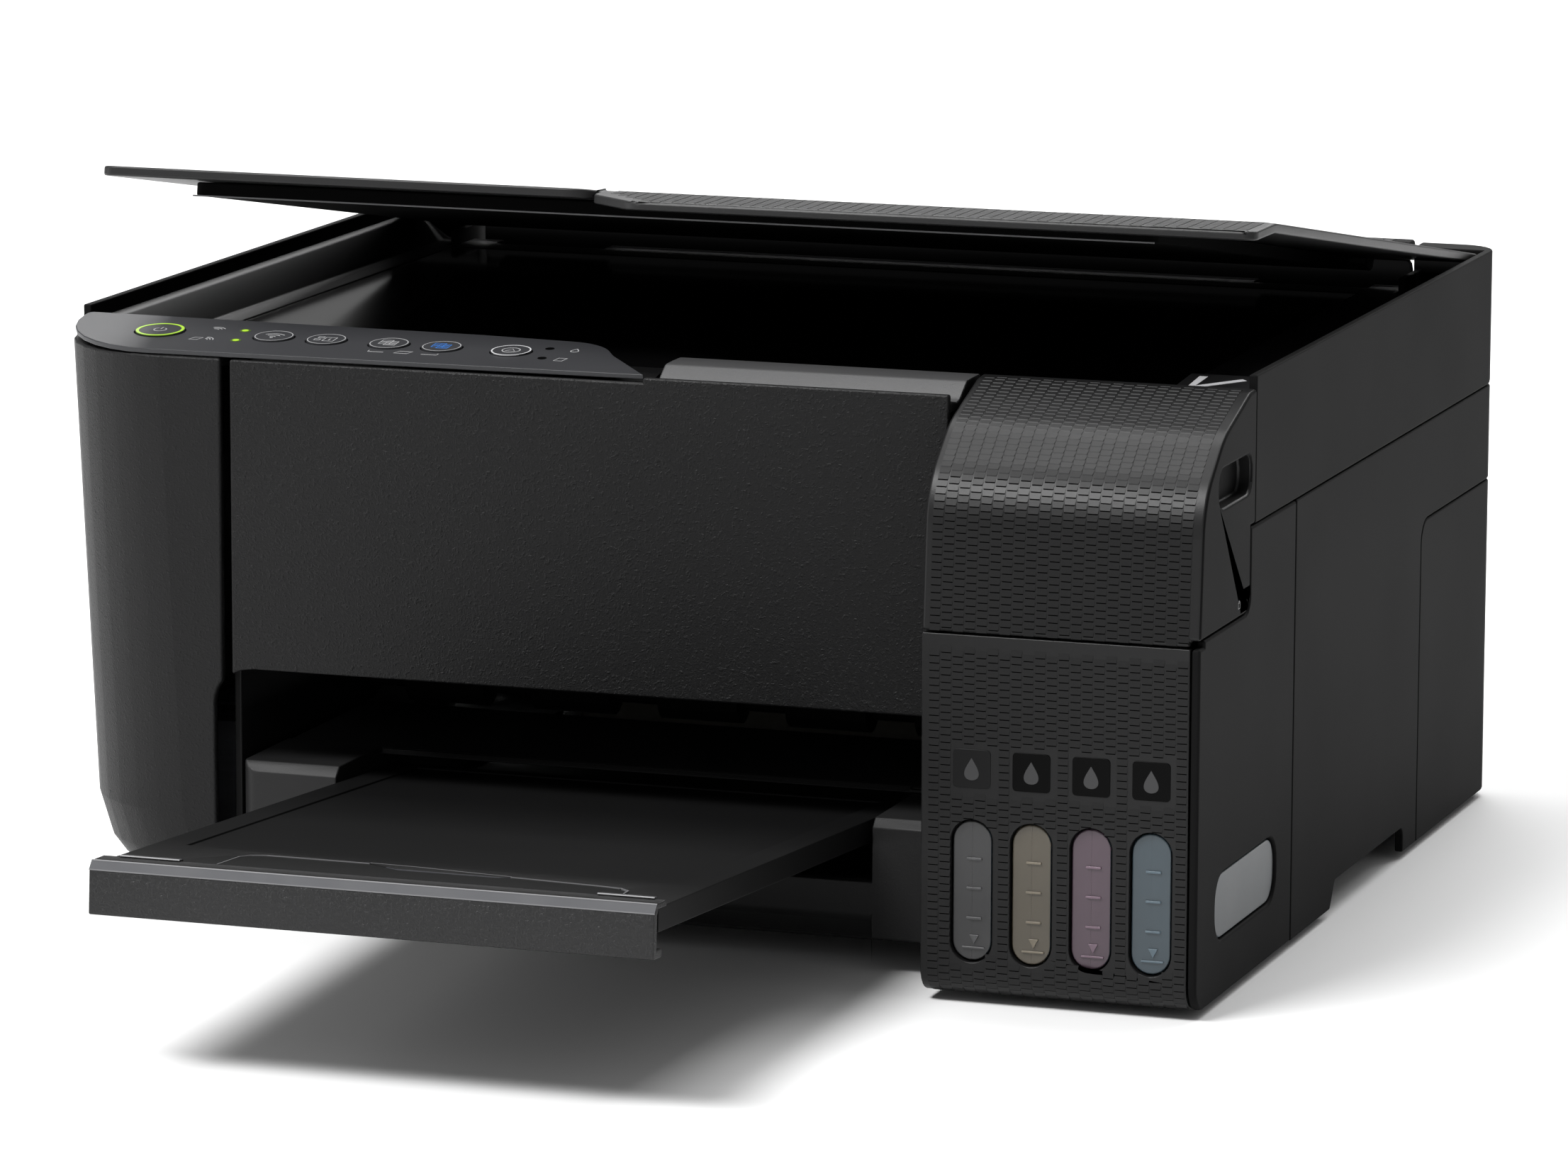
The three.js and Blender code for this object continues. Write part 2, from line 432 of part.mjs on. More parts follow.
function tankCowl() {
  const outer = block('x', TANK_X, HALF_W, cowlTop(0), 7);
  const inner = block('x', TANK_X + WALL, HALF_W - WALL, cowlTop(WALL), 7).translate([0, 0, -0.01]);
  const back = box(TANK_X - 1, HALF_W + 1, COWL_BACK_Y, 70, 100, 200);
  const backLow = box(TANK_X - 1, HALF_W - WALL, FACE_Y + 30, 70, 100, 168);
  const lowerSide = block('x', HALF_W - WALL - 0.5, 200, [[-5, 100, 0], [70, 100, 0], [70, SEAM_Z, 0],
    [COWL_BACK_Y - 3.5 - GAP, SEAM_Z, 0], [COWL_BACK_Y - 3.5 - GAP, 110.2 + GAP, 5], [-5, 110.2 + GAP, 0]]);
  const notch = box(TANK_X + WALL, HALF_W - WALL, 40, 70, 100, 171.5);
  const lock = box(HALF_W - WALL - 1, 200, 43, 51, 112.6, 117.4);
  const pocketWall = bar('x', HALF_W - WALL - 3.6, HALF_W - WALL + 0.1, 16, 54, 143.5, 159, 4, 4);
  const pocket = bar('x', HALF_W - WALL - 2, 200, 18, 52, 145.5, 157, 4.5, 5);
  return cut(join(cut(outer, inner, back, backLow, lowerSide, notch, lock), pocketWall), pocket);
}

// Document cover, drawn closed and then turned open about its hinge line.
const LID_TOP = 178.6;
function openLid(solid) {
  return turned(solid, new THREE.Vector3(1, 0, 0), -LID_OPEN, [0, LID_AXIS.y, LID_AXIS.z]);
}

function documentCover() {
  const plan = [[-184.2, 331, 3], [-184.2, 71.5, 4], [-24, 71.5, 10], [-24, 88, 0], [184.2, 88, 0], [184.2, 331, 3]];
  const flat = block('z', LID_TOP - 3, LID_TOP, plan, 5);
  const lipPlan = [[-24.5, 88.5, 0], [-24.5, 73, 4], [-8, 60, 10], [184.2, 60, 4], [184.2, 88.5, 0]];
  const lip = block('x', -25, 184.2, [[88.5, LID_TOP, 0], [82, LID_TOP, 12], [60, 175.2, 1], [60, 172.6, 0],
    [62, 172.6, 0], [82, 175.6, 0], [88.5, 175.6, 0]], 4).intersect(block('z', 150, 200, lipPlan, 5));
  const leaf = join(flat, lip);
  const lugs = [-149.5, 112.5].map((x) => block('x', x, x + 37, [[322, LID_TOP - 2.9, 0], [322, 171.5, 3],
    [332, 171.5, 3], [332, LID_TOP - 2.9, 0]], 3));
  return join(leaf, ...lugs);
}

const documentPad = () => bar('z', LID_TOP - 7.5, LID_TOP - 3.3, -158, 148, 82, 310, 5, 4);

// Paper support: a panel that stands in the rear recess and leans back for loading.
function paperSupport() {
  const leaf = join(bar('y', 338, 341, -160.4, 160.4, 74, 176, 5, 4), box(-149, 149, 338, 341, 60, 76));
  const cap = bar('x', -159.5, 159.5, 337, DEPTH - 0.4, 174.5, RIM_Z + 1, 1.5, 2);
  const trunnion = rod('x', -150, 150, 342.5, 62.5, 2.4, 12);
  return join(leaf, cap, trunnion);
}

// ---- print engine -------------------------------------------------------------------------
function gearProfile(teeth, turnBy) {
  const pitch = 2 * Math.PI / teeth;
  const radius = teeth / 2;
  const stations = [[-0.3, radius - 1.2], [-0.12, radius + 0.75], [0.12, radius + 0.75], [0.3, radius - 1.2]];
  return Array.from({ length: teeth }, (_, i) => stations.map(([part, r]) => {
    const angle = (i + part + turnBy) * pitch;
    return new THREE.Vector2(r * Math.cos(angle), r * Math.sin(angle));
  })).flat();
}

function gear(teeth, turnBy, y, z, x0 = GEAR_X[0], x1 = GEAR_X[1]) {
  return prism('x', x0, x1, gearProfile(teeth, turnBy).map((p) => p.add(new THREE.Vector2(y, z))));
}

function roller(y, radius, rubberRadius) {
  const shaft = rod('x', FRAME_X[0] + 0.6, FRAME_X[1] + 2.4, y, GEAR_Z, radius, 12);
  const sleeves = [-112, -70, -28, 14, 56].map((x) => rod('x', x, x + 26, y, GEAR_Z, rubberRadius, 16));
  return join(shaft, ...sleeves, gear(36, 0, y, GEAR_Z));
}

function platen() {
  const plate = box(-118, 104, 162, 188, 50, 54);
  const ribs = Array.from({ length: 12 }, (_, i) => box(-112 + i * 18.6, -110 + i * 18.6, 163, 187, 53.5, 58.5));
  const legs = [-117, 101].map((x) => box(x, x + 2.5, 163, 187, 11.3, 51));
  return join(plate, ...ribs, ...legs);
}

function carriage() {
  const cup = bar('x', -20, 45, 150, 202, 66, 104, 3, 3);
  const hollow = box(-17.5, 42.5, 153, 199, 78, 110);
  const arm = box(-10, 35, 196, 226.5, 119.5, 122.5);
  const post = box(-10, 35, 196, 201, 100, 121);
  const hook = box(-10, 35, RAIL_Y + 4.5, 226.5, 108, 121);
  return cut(join(cup, arm, post, hook), hollow);
}

function carriageBelt() {
  const outline = (r) => [[-148 - r, 210 - r, r - 0.01], [148 + r, 210 - r, r - 0.01], [148 + r, 210 + r, r - 0.01], [-148 - r, 210 + r, r - 0.01]];
  return cut(block('z', 110, 115, outline(6.2), 8), block('z', 100, 120, outline(5.3), 8));
}

function pulley(x) {
  return join(rod('z', 109, 109.8, x, 210, 6.2), rod('z', 109.5, 115.5, x, 210, 4.9), rod('z', 115.2, 116, x, 210, 6.2));
}

function powerSupply() {
  const can = bar('z', 15.2, 54, -158, -127, 62, 128, 3, 2);
  const slots = Array.from({ length: 6 }, (_, i) => box(-152, -133, 68 + i * 9, 72 + i * 9, 50, 60));
  return cut(can, ...slots);
}

function acInlet() {
  const shell = block('y', 322, DEPTH - 0.6, rectangle(-159.4, -130.6, 20.6, 41.4, 3), 3);
  const well = block('y', 330, DEPTH + 1, rectangle(-156.5, -133.5, 24, 38, 3), 3);
  const pins = [-149, -141].map((x) => bar('y', 326, 342, x - 1, x + 1, 29, 33, 0.8, 1));
  return join(cut(shell, well), ...pins);
}

function mainBoard() {
  const board = box(-171.4, -169.8, 160, 325, 22, 110);
  const usb = cut(box(-170, -157, 312, DEPTH - 1, 59.5, 70.5), box(-167.5, -159.5, 325, DEPTH, 61.5, 68.5));
  const chips = [[180, 60], [215, 84], [250, 50]].map(([y, z]) => box(-170, -167.8, y, y + 18, z, z + 18));
  return join(board, usb, ...chips);
}

function cappingStation() {
  const tub = bar('z', 11.3, 58, 110, 148, 161, 189, 3, 3);
  return cut(tub, bar('z', 52, 60, 113, 145, 164, 186, 2, 3));
}

// ---- assembly -----------------------------------------------------------------------------
add('base_case', INNER, baseCase());
add('left_housing', LIFTED, leftHousing());
add('rear_housing', SIDE, rearHousing());
add('right_side_panel', SIDE, rightSidePanel());
add('tank_front_cover', BLACK, tankFrontCover());
add('tank_side_cover', SIDE, tankSideCover());
const INK_COLOURS = { black: 0x4a4a4a, yellow: 0x6b675d, magenta: 0x67595f, cyan: 0x56626a };
INKS.forEach((ink, i) => {
  add(`ink_tank_${ink}`, plastic(INK_COLOURS[ink], 0.25), inkTank(windowX[i], i === INKS.length - 1));
  add(`ink_cap_${ink}`, RUBBER, inkCap(windowX[i]));
});
add('tank_inner_cover', INNER, tankInnerCover());
const FEET = { front_left: [-145, 70, 7.7], front_right: [150, 40, 1.7], rear_left: [-145, 315, 7.7], rear_right: [160, 315, 7.7] };
Object.entries(FEET).forEach(([place, [x, y, top]]) => add(`foot_${place}`, RUBBER, rod('z', 0, top, x, y, 9)));

add('output_tray', TRAY_BLACK, outputTray(), tiltedTray);
add('tray_front_bar', LIFTED, trayFrontBar(), tiltedTray);
add('tray_stopper', TRAY_BLACK, trayStopper(), tiltedTray);

add('scanner_base', SIDE, scannerBase());
add('scanner_frame', INNER, scannerFrame());
add('scanner_glass', plastic(0x08090a, 0.08), box(GLASS.x0, GLASS.x1, GLASS.y0, GLASS.y1, 165.1, BED.top - 0.2));
add('scan_rod', STEEL, rod('x', -169, 169, 200, 145, 3));
add('scan_head', INNER, scanHead());
add('control_panel', plastic(0x3c3d40, 0.4), controlPanel());
Object.entries(BUTTONS).forEach(([name, place]) => add(`${name}_button`, plastic(0x3a3b3e, 0.4), button(place)));
add('front_panel', BLACK, frontPanel());
add('tank_cowl', LIFTED, tankCowl());
add('document_cover', BLACK, openLid(documentCover()));
add('document_pad', plastic(0xe8e8e6, 0.8), openLid(documentPad()));

add('paper_support', SIDE, paperSupport());
add('edge_guide', INNER, prism('x', -112, -108.5, rounded([[292.2, 81.8], [320, 114.6], [309.3, 123.6], [281.5, 90.8]], 1)));

add('platen', INNER, platen());
add('feed_roller', RUBBER, roller(FEED_Y, 3, 8));
add('eject_roller', RUBBER, roller(EJECT_Y, 3, 7));
add('feed_idler_gear', NYLON, cut(gear(14, 0.5, IDLER_Y, GEAR_Z), rod('x', -160, -140, IDLER_Y, GEAR_Z, 2.1, 12)));
add('feed_motor_pinion', NYLON, cut(gear(12, 0.5, PINION_Y, GEAR_Z), rod('x', -160, -140, PINION_Y, GEAR_Z, 2, 12)));
add('feed_motor', STEEL, join(rod('x', -144.5, -112, PINION_Y, GEAR_Z, 12), rod('x', -152, -144, PINION_Y, GEAR_Z, 1.4, 12)));
add('carriage', INNER, carriage());
add('print_head', STEEL, box(-12, 37, 161, 190, 62.6, 65.7));
add('carriage_rail', STEEL, join(box(-154.6, 155.6, RAIL_Y, RAIL_Y + 2.5, 78, 118.5), box(-154.6, 155.6, RAIL_Y, RAIL_Y + 12, 78, 80.5)));
add('carriage_belt', RUBBER, carriageBelt());
add('drive_pulley', NYLON, pulley(148));
add('idler_pulley', NYLON, pulley(-148));
add('carriage_motor', STEEL, rod('z', 72, 108.5, 148, 210, 7.4));
add('capping_station', INNER, cappingStation());
add('waste_ink_pad', plastic(0xb9b7af, 0.95), bar('z', 11.4, 44, -100, 100, 266, 283, 3, 3));
add('power_supply', STEEL, powerSupply());
add('ac_inlet', INNER, acInlet());
add('main_board', plastic(0x1f4a30, 0.6), mainBoard());

// The origin sits on the table, under the middle of the printer with its tray out.
printer.updateMatrixWorld(true);
const bounds = new THREE.Box3().setFromObject(printer);
printer.position.y = -(bounds.min.y + bounds.max.y) / 2;
printer.updateMatrixWorld(true);

export default printer;
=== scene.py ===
"""An all-in-one ink-tank printer with its tray drawn out and its lid ajar."""
import json
import math

import bmesh
import bpy
import numpy as np
from mathutils import Matrix, Vector


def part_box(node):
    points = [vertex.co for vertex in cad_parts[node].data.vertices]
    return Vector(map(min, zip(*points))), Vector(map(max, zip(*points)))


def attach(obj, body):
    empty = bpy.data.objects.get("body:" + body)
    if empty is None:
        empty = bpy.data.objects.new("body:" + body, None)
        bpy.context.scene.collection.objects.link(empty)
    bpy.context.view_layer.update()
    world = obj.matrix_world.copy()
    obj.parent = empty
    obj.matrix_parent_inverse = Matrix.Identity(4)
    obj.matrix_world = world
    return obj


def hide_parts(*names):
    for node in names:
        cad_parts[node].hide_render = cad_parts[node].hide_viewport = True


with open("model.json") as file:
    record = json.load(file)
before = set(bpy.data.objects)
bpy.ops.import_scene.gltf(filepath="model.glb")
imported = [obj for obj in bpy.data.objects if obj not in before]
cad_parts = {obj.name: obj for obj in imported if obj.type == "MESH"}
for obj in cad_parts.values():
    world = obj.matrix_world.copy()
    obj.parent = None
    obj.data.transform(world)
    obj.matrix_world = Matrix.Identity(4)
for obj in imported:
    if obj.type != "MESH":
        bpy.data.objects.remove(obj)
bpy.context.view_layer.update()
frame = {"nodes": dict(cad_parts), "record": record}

# ---- Studio ----------------------------------------------------------------------------------
# The printer stands on a pale table in a white room, under soft boxes over its front left. All
# lengths are millimetres from the tank unit's face (y), the table (z) and the middle (x).
MM = 0.001
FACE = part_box("tank_front_cover")[0][1]
LENS = 180.65
CAMERA_AT = (788.2, -2109.4, 526.1)
CAMERA_TURN, CAMERA_DOWN, CAMERA_ROLL = 18.98, 10.355, 0.2
WHITE_ROOM, ROOM_LIGHT = 1.0, 0.3
TABLE_RADIUS, TABLE_SIDES, TABLE_DROP = 14, 64, 0.0005


def placed(points):
    """Millimetre points of the printer's layout, in metres of the frame."""
    return np.asarray(points, float) * MM + np.array([0, FACE, 0])


def turned(degrees, axis):
    """A turn about one axis, given in degrees."""
    return Matrix.Rotation(math.radians(degrees), 4, axis)


view = bpy.data.objects.new("camera", bpy.data.cameras.new("camera"))
view.data.lens = LENS
view.data.clip_end = 50
view.matrix_world = (Matrix.Translation(placed(CAMERA_AT)) @ turned(CAMERA_TURN, "Z")
                     @ turned(90 - CAMERA_DOWN, "X") @ turned(CAMERA_ROLL, "Z"))
bpy.context.collection.objects.link(view)
bpy.context.scene.camera = view
bpy.context.scene.view_settings.view_transform = "Standard"


class Term:
    """A shader value: arithmetic on it adds Math nodes."""

    def __init__(self, finish, socket):
        self.finish, self.socket = finish, socket

    def math(self, operation, *others):
        """One Math node fed by this value and the others."""
        inputs = dict(enumerate((self, *others)))
        node = self.finish.node("ShaderNodeMath", {"operation": operation}, inputs)
        return Term(self.finish, node.outputs[0])

    def __add__(self, other):
        return self.math("ADD", other)

    def __mul__(self, other):
        return self.math("MULTIPLY", other)

    def __sub__(self, other):
        return self.math("SUBTRACT", other)

    __radd__, __rmul__ = __add__, __mul__


class Finish:
    """A material: one principled shader and the nodes that feed it."""

    def __init__(self, name, **sockets):
        self.material = bpy.data.materials.new(name)
        self.material.use_nodes = True
        self.tree = self.material.node_tree
        self.shader = self.tree.nodes["Principled BSDF"]
        self.feed(**sockets)

    def plug(self, entry, value):
        """Links a value to an input, or sets it there if it is a constant."""
        value = getattr(value, "socket", value)
        if isinstance(value, bpy.types.NodeSocket):
            self.tree.links.new(value, entry)
        else:
            entry.default_value = value

    def feed(self, **sockets):
        """Plugs values into the shader inputs of those names."""
        for key, value in sockets.items():
            self.plug(self.shader.inputs[key.replace("_", " ")], value)

    def node(self, kind, settings=None, inputs=None):
        """A new node with its settings made and its inputs plugged."""
        made = self.tree.nodes.new(kind)
        for key, value in (settings or {}).items():
            setattr(made, key, value)
        for key, value in (inputs or {}).items():
            self.plug(made.inputs[key], value)
        return made

    def noise(self, size, detail=2.0, roughness=0.5, stretch=None):
        """Noise from 0 to 1 whose cells are about size millimetres across."""
        where = self.node("ShaderNodeTexCoord").outputs["Object"]
        if stretch:
            where = self.node("ShaderNodeMapping", None, {0: where, 3: stretch}).outputs[0]
        made = self.node("ShaderNodeTexNoise", None, {
            "Vector": where, "Scale": 1 / (size * MM), "Detail": detail, "Roughness": roughness})
        return Term(self, made.outputs[0])

    def relief(self, height, depth):
        """A bump of depth millimetres from a height between 0 and 1."""
        return self.node("ShaderNodeBump", None, {
            "Strength": 1.0, "Distance": depth * MM, "Height": height}).outputs[0]

    def shade(self, colour, amount, value):
        """The colour, lighter or darker by a value that averages one half."""
        ends = [(*[c * (1 + sign * amount) for c in colour], 1) for sign in (-1, 1)]
        return self.node("ShaderNodeMix", {"data_type": "RGBA"}, {0: value, 6: ends[0], 7: ends[1]}).outputs[2]


table = Finish("pale_table", Roughness=0.9)
table.shader.inputs["Specular IOR Level"].default_value = 0.1
table.feed(Base_Color=table.shade((0.86, 0.86, 0.86), 0.01, table.noise(300)))
around = np.linspace(0, 2 * math.pi, TABLE_SIDES, endpoint=False)
table_mesh = bpy.data.meshes.new("table")
table_mesh.from_pydata([(TABLE_RADIUS * math.cos(a), TABLE_RADIUS * math.sin(a), -TABLE_DROP) for a in around],
                       [], [list(range(TABLE_SIDES))])
table_mesh.materials.append(table.material)
table_top = bpy.data.objects.new("table", table_mesh)
bpy.context.collection.objects.link(table_top)

room = bpy.data.worlds.new("white_room")
bpy.context.scene.world = room
room.use_nodes = True
walls = room.node_tree.nodes["Background"]
walls.inputs[0].default_value = (1, 1, 1, 1)
walls.inputs[1].default_value = ROOM_LIGHT
seen = room.node_tree.nodes.new("ShaderNodeBackground")
seen.inputs[1].default_value = WHITE_ROOM
seen.inputs[0].default_value = (1, 1, 1, 1)
path = room.node_tree.nodes.new("ShaderNodeLightPath")
both = room.node_tree.nodes.new("ShaderNodeMixShader")
for source, target in ((path.outputs["Is Camera Ray"], both.inputs[0]), (walls.outputs[0], both.inputs[1]),
                       (seen.outputs[0], both.inputs[2]),
                       (both.outputs[0], room.node_tree.nodes["World Output"].inputs[0])):
    room.node_tree.links.new(source, target)

# Each box has the place where it stands, the point it aims at, its width and height, and its power.
AIM = (0, 0, 0.1)
SOFT_BOXES = {
    "key": ((-0.62, -1.0, 1.75), AIM, 1.1, 0.45, 50),
    "left": ((-1.9, -0.7, 0.75), AIM, 0.4, 1.3, 8),
    "top": ((0.0, 0.6, 2.1), AIM, 1.8, 0.9, 28),
    "table": ((0, 3.4, 2.4), (0, 3.0, 0), 4.0, 2.0, 150),
}
for name, (at, aim, width, height, power) in SOFT_BOXES.items():
    lamp = bpy.data.objects.new(name + "_box", bpy.data.lights.new(name + "_box", "AREA"))
    lamp.data.shape, lamp.data.size, lamp.data.size_y, lamp.data.energy = "RECTANGLE", width, height, power
    lamp.location = at
    lamp.rotation_euler = (Vector(aim) - Vector(at)).to_track_quat("-Z", "Y").to_euler()
    bpy.context.collection.objects.link(lamp)

# ---- Lower case and housings -----------------------------------------------------------------
# The lower case, the housings on its two sides and the rear wall are injection-moulded black
# plastic, clipped together. The mould's spark-eroded grain is coarse in front and fine elsewhere.
NODES = frame["nodes"]
SLOTS = {row["node"]: row["material_slot"] for row in frame["record"]["subparts"]}
BODY_OF = {node: body for body, nodes in frame["record"]["behaviour"]["bodies"].items() for node in nodes}


def moulded(name, colour, roughness, grain, depth, gloss=0.25):
    """Moulded plastic: folded noise makes a leathery grain, and slow noise drifts its gloss."""
    finish = Finish(name)
    leather = finish.noise(grain, 3.0, 0.55)
    cloud = finish.noise(60.0)
    height = (leather - 0.5).math("ABSOLUTE") * 1.2 + leather * 0.4
    finish.feed(Base_Color=finish.shade(colour, 0.18, cloud * 0.5 + leather * 0.5),
                Roughness=cloud * 0.08 + (roughness - 0.04), Normal=finish.relief(height, depth))
    finish.shader.inputs["Specular IOR Level"].default_value = gloss
    return finish.material


def smooth(name, colour, roughness, depth=0.006, gloss=0.4):
    """Polished plastic or print: faint orange peel, and a little dust in the gloss."""
    finish = Finish(name)
    dust = finish.noise(14.0, 4.0, 0.65)
    finish.feed(Base_Color=finish.shade(colour, 0.12, dust), Roughness=dust * 0.1 + (roughness - 0.05),
                Normal=finish.relief(finish.noise(2.2), depth))
    finish.shader.inputs["Specular IOR Level"].default_value = gloss
    return finish.material


def joined(made, body):
    """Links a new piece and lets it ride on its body."""
    bpy.context.collection.objects.link(made)
    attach(made, body)
    return made


def rounded_edges(made, width, steps=2, angle=28):
    """Rounds every fold sharper than an angle by a radius in millimetres."""
    bevel = made.modifiers.new("edges", "BEVEL")
    bevel.width, bevel.segments, bevel.limit_method = width * MM, steps, "ANGLE"
    bevel.angle_limit = math.radians(angle)
    bevel.use_clamp_overlap = False
    bevel.harden_normals = True
    return made


def moulding(node, material, edge=0.5, steps=2, angle=28):
    """The real moulding of a CAD shell: flats merged, curves smooth, edges given a radius."""
    mesh = NODES[node].data.copy()
    shell = bmesh.new()
    shell.from_mesh(mesh)
    bmesh.ops.remove_doubles(shell, verts=shell.verts, dist=1e-6)
    bmesh.ops.dissolve_limit(shell, angle_limit=math.radians(0.6), verts=shell.verts, edges=shell.edges)
    shell.to_mesh(mesh)
    shell.free()
    mesh.materials.clear()
    mesh.materials.append(material)
    mesh.shade_smooth()
    mesh.set_sharp_from_angle(angle=math.radians(angle))
    made = joined(bpy.data.objects.new(node + "_moulding", mesh), BODY_OF[node])
    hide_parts(node)
    return rounded_edges(made, edge, steps, angle)


def second_finish(made, material, wanted):
    """Gives the faces that pass a test a second material."""
    made.data.materials.append(material)
    for face in made.data.polygons:
        face.material_index = int(wanted(face))


def coated(material, *nodes):
    """Gives CAD nodes whose shape is right their finish."""
    for node in nodes:
        NODES[node].data.materials.clear()
        NODES[node].data.materials.append(material)


SIDE_BLACK = moulded("side_black", (0.006, 0.006, 0.0061), 0.62, 0.5, 0.012, 0.04)
HOUSING_BLACK = moulded("housing_black", (0.007, 0.007, 0.0072), 0.46, 1.0, 0.3, 0.18)
INNER_BLACK = moulded("inner_black", (0.003, 0.003, 0.0032), 0.6, 0.6, 0.015, 0.12)
RUBBER_BLACK = moulded("rubber_black", (0.008, 0.008, 0.008), 0.8, 0.3, 0.03, 0.2)
moulding("left_housing", HOUSING_BLACK, 0.9, 3)
moulding("right_side_panel", SIDE_BLACK, 0.5)
moulding("rear_housing", SIDE_BLACK, 0.5)
moulding("base_case", moulded("case_black", (0.009, 0.009, 0.0092), 0.5, 0.9, 0.05, 0.25), 0.5)
coated(RUBBER_BLACK, "foot_front_left", "foot_front_right", "foot_rear_left", "foot_rear_right")

# ---- Ink tank unit ---------------------------------------------------------------------------
# The tank unit's face carries a moulded pattern of small tiles in brick order. Each tile is a
# wedge whose lower ledge stands proud. The ledge face is painted near-black as a painted shadow,
# so it reads as a dark dash; where it faces up it gets a lighter painted highlight instead.
TILE_W, TILE_PITCH, TILE_PROUD, TILE_SUNK, LEDGE = 3.53, 2.19, 0.17, 0.3, 0.33
TILE_LOW_HALF, TILE_TOP_HALF = 1.45, 1.74
TILE_BLACK = moulded("tile_black", (0.0075, 0.0075, 0.0077), 0.4, 0.4, 0.03, 0.26)
# Ledge faces are painted: near-black as a painted shadow, and lighter as a painted highlight where they face up.
LEDGE_PAINTED_SHADOW = moulded("ledge_shadow", (0.0012, 0.0012, 0.0012), 0.8, 0.4, 0.01, 0.02)
LEDGE_PAINTED_HIGHLIGHT = moulded("ledge_painted_highlight", (0.024, 0.024, 0.0245), 0.5, 0.4, 0.01, 0.25)
X_TILED = (106.6, 184.4)
RIGHT_FACING = 0.7


def section(points, radii, steps=10):
    """A (y, z) polyline with rounded corners, as position and outward normal along its length."""
    out = []
    for i, (here, radius) in enumerate(zip(points, radii)):
        here = np.array(here, float)
        if not radius:
            out.append(here[None])
            continue
        before, after = (np.array(points[i + d], float) - here for d in (-1, 1))
        before, after = before / np.hypot(*before), after / np.hypot(*after)
        half = math.acos(float(before @ after)) / 2
        centre = here + (before + after) / np.hypot(*(before + after)) * radius / math.sin(half)
        first, last = (here + d * radius / math.tan(half) - centre for d in (before, after))
        start = math.atan2(first[1], first[0])
        sweep = (math.atan2(last[1], last[0]) - start + math.pi) % (2 * math.pi) - math.pi
        a = start + sweep * np.linspace(0, 1, steps + 1)
        out.append(centre + radius * np.stack([np.cos(a), np.sin(a)], -1))
    line = np.concatenate(out)
    legs = np.hypot(*np.diff(line, axis=0).T)
    along = np.concatenate([[0], np.cumsum(legs)])
    middle = (along[1:] + along[:-1]) / 2
    lean = np.diff(line, axis=0) / legs[:, None]

    def where(s):
        """Position and unit outward normal at a distance along the line."""
        y, z = (np.interp(s, along, line[:, i]) for i in (0, 1))
        ty, tz = (np.interp(s, middle, lean[:, i]) for i in (0, 1))
        size = np.hypot(ty, tz)
        return y, z, -tz / size, ty / size
    return where, along[-1]


def tiles(name, body, x_range, where, length, wanted, turn=None, bright_from=0.62):
    """Wedge tiles on a surface swept along X.

    Tile k of column c starts at s = (k + c/2) * pitch. Its outline in (s, rise) goes from under
    the skin to the skin, up the ledge, and back down over the length of the tile. Ledge faces get
    a near-black painted shadow, and a lighter painted highlight where the outward normal's height
    passes bright_from.
    """
    columns = np.arange(math.floor((x_range[1] - x_range[0]) / TILE_W))
    rows = np.arange(math.floor(length / TILE_PITCH) - 1)
    c, k = (grid.ravel() for grid in np.meshgrid(columns, rows))
    x = x_range[0] + (c + 0.5) * TILE_W
    start = (k + 0.5 * (c % 2)) * TILE_PITCH
    keep = wanted(x, start + TILE_PITCH / 2)
    x, start = x[keep], start[keep]
    outline = ((0, -TILE_SUNK), (0, 0), (LEDGE, TILE_PROUD), (TILE_PITCH, 0.02), (TILE_PITCH, -TILE_SUNK))
    corners = []
    for side in (-1, 1):
        for ahead, rise in outline:
            y, z, ny, nz = where(start + ahead)
            half = TILE_LOW_HALF + (TILE_TOP_HALF - TILE_LOW_HALF) * ahead / TILE_PITCH
            corners.append(np.stack([x + side * half, y + ny * rise, z + nz * rise], -1))
    points = np.stack(corners, 1).reshape(-1, 3)
    if turn:
        points = turn(points)
    upright = where(start)[3]
    quads = np.array([[i, i + 5, (i + 1) % 5 + 5, (i + 1) % 5] for i in range(5)])
    base = np.arange(len(x))[:, None, None] * 10
    faces = (base + quads).reshape(-1, 4).tolist()
    ends = base[:, :, 0]
    faces += (ends + np.arange(5)).tolist() + (ends + np.arange(5)[::-1] + 5).tolist()
    slots = np.zeros((len(x), 5), int)
    # The ledge face gets the painted shadow, or the painted highlight where the surface faces up.
    slots[:, 1] = np.where(upright > bright_from, 2, 1)
    mesh = bpy.data.meshes.new(name)
    mesh.from_pydata(placed(points).tolist(), [], faces)
    for material in (TILE_BLACK, LEDGE_PAINTED_SHADOW, LEDGE_PAINTED_HIGHLIGHT):
        mesh.materials.append(material)
    slots = np.concatenate([slots.ravel(), np.zeros(2 * len(x), int)])
    mesh.polygons.foreach_set("material_index", slots.tolist())
    facing_out(mesh)
    return joined(bpy.data.objects.new(name, mesh), body)


def facing_out(mesh):
    """Turns every face of closed shells outwards."""
    shell = bmesh.new()
    shell.from_mesh(mesh)
    bmesh.ops.recalc_face_normals(shell, faces=shell.faces)
    shell.to_mesh(mesh)
    shell.free()


INKS = {"black": (0.028, 0.028, 0.029), "yellow": (0.076, 0.065, 0.047),
        "magenta": (0.068, 0.044, 0.059), "cyan": (0.035, 0.052, 0.064)}
WINDOW_X = [119.9 + 17.9 * i for i in range(4)]
WINDOW_HALF, WINDOW_LOW, WINDOW_HIGH = 5.85, 12.8, 53.9
BADGE_HALF, BADGE_LOW, BADGE_HIGH = 5.65, 63.7, 75.1
MARGIN = 1.7


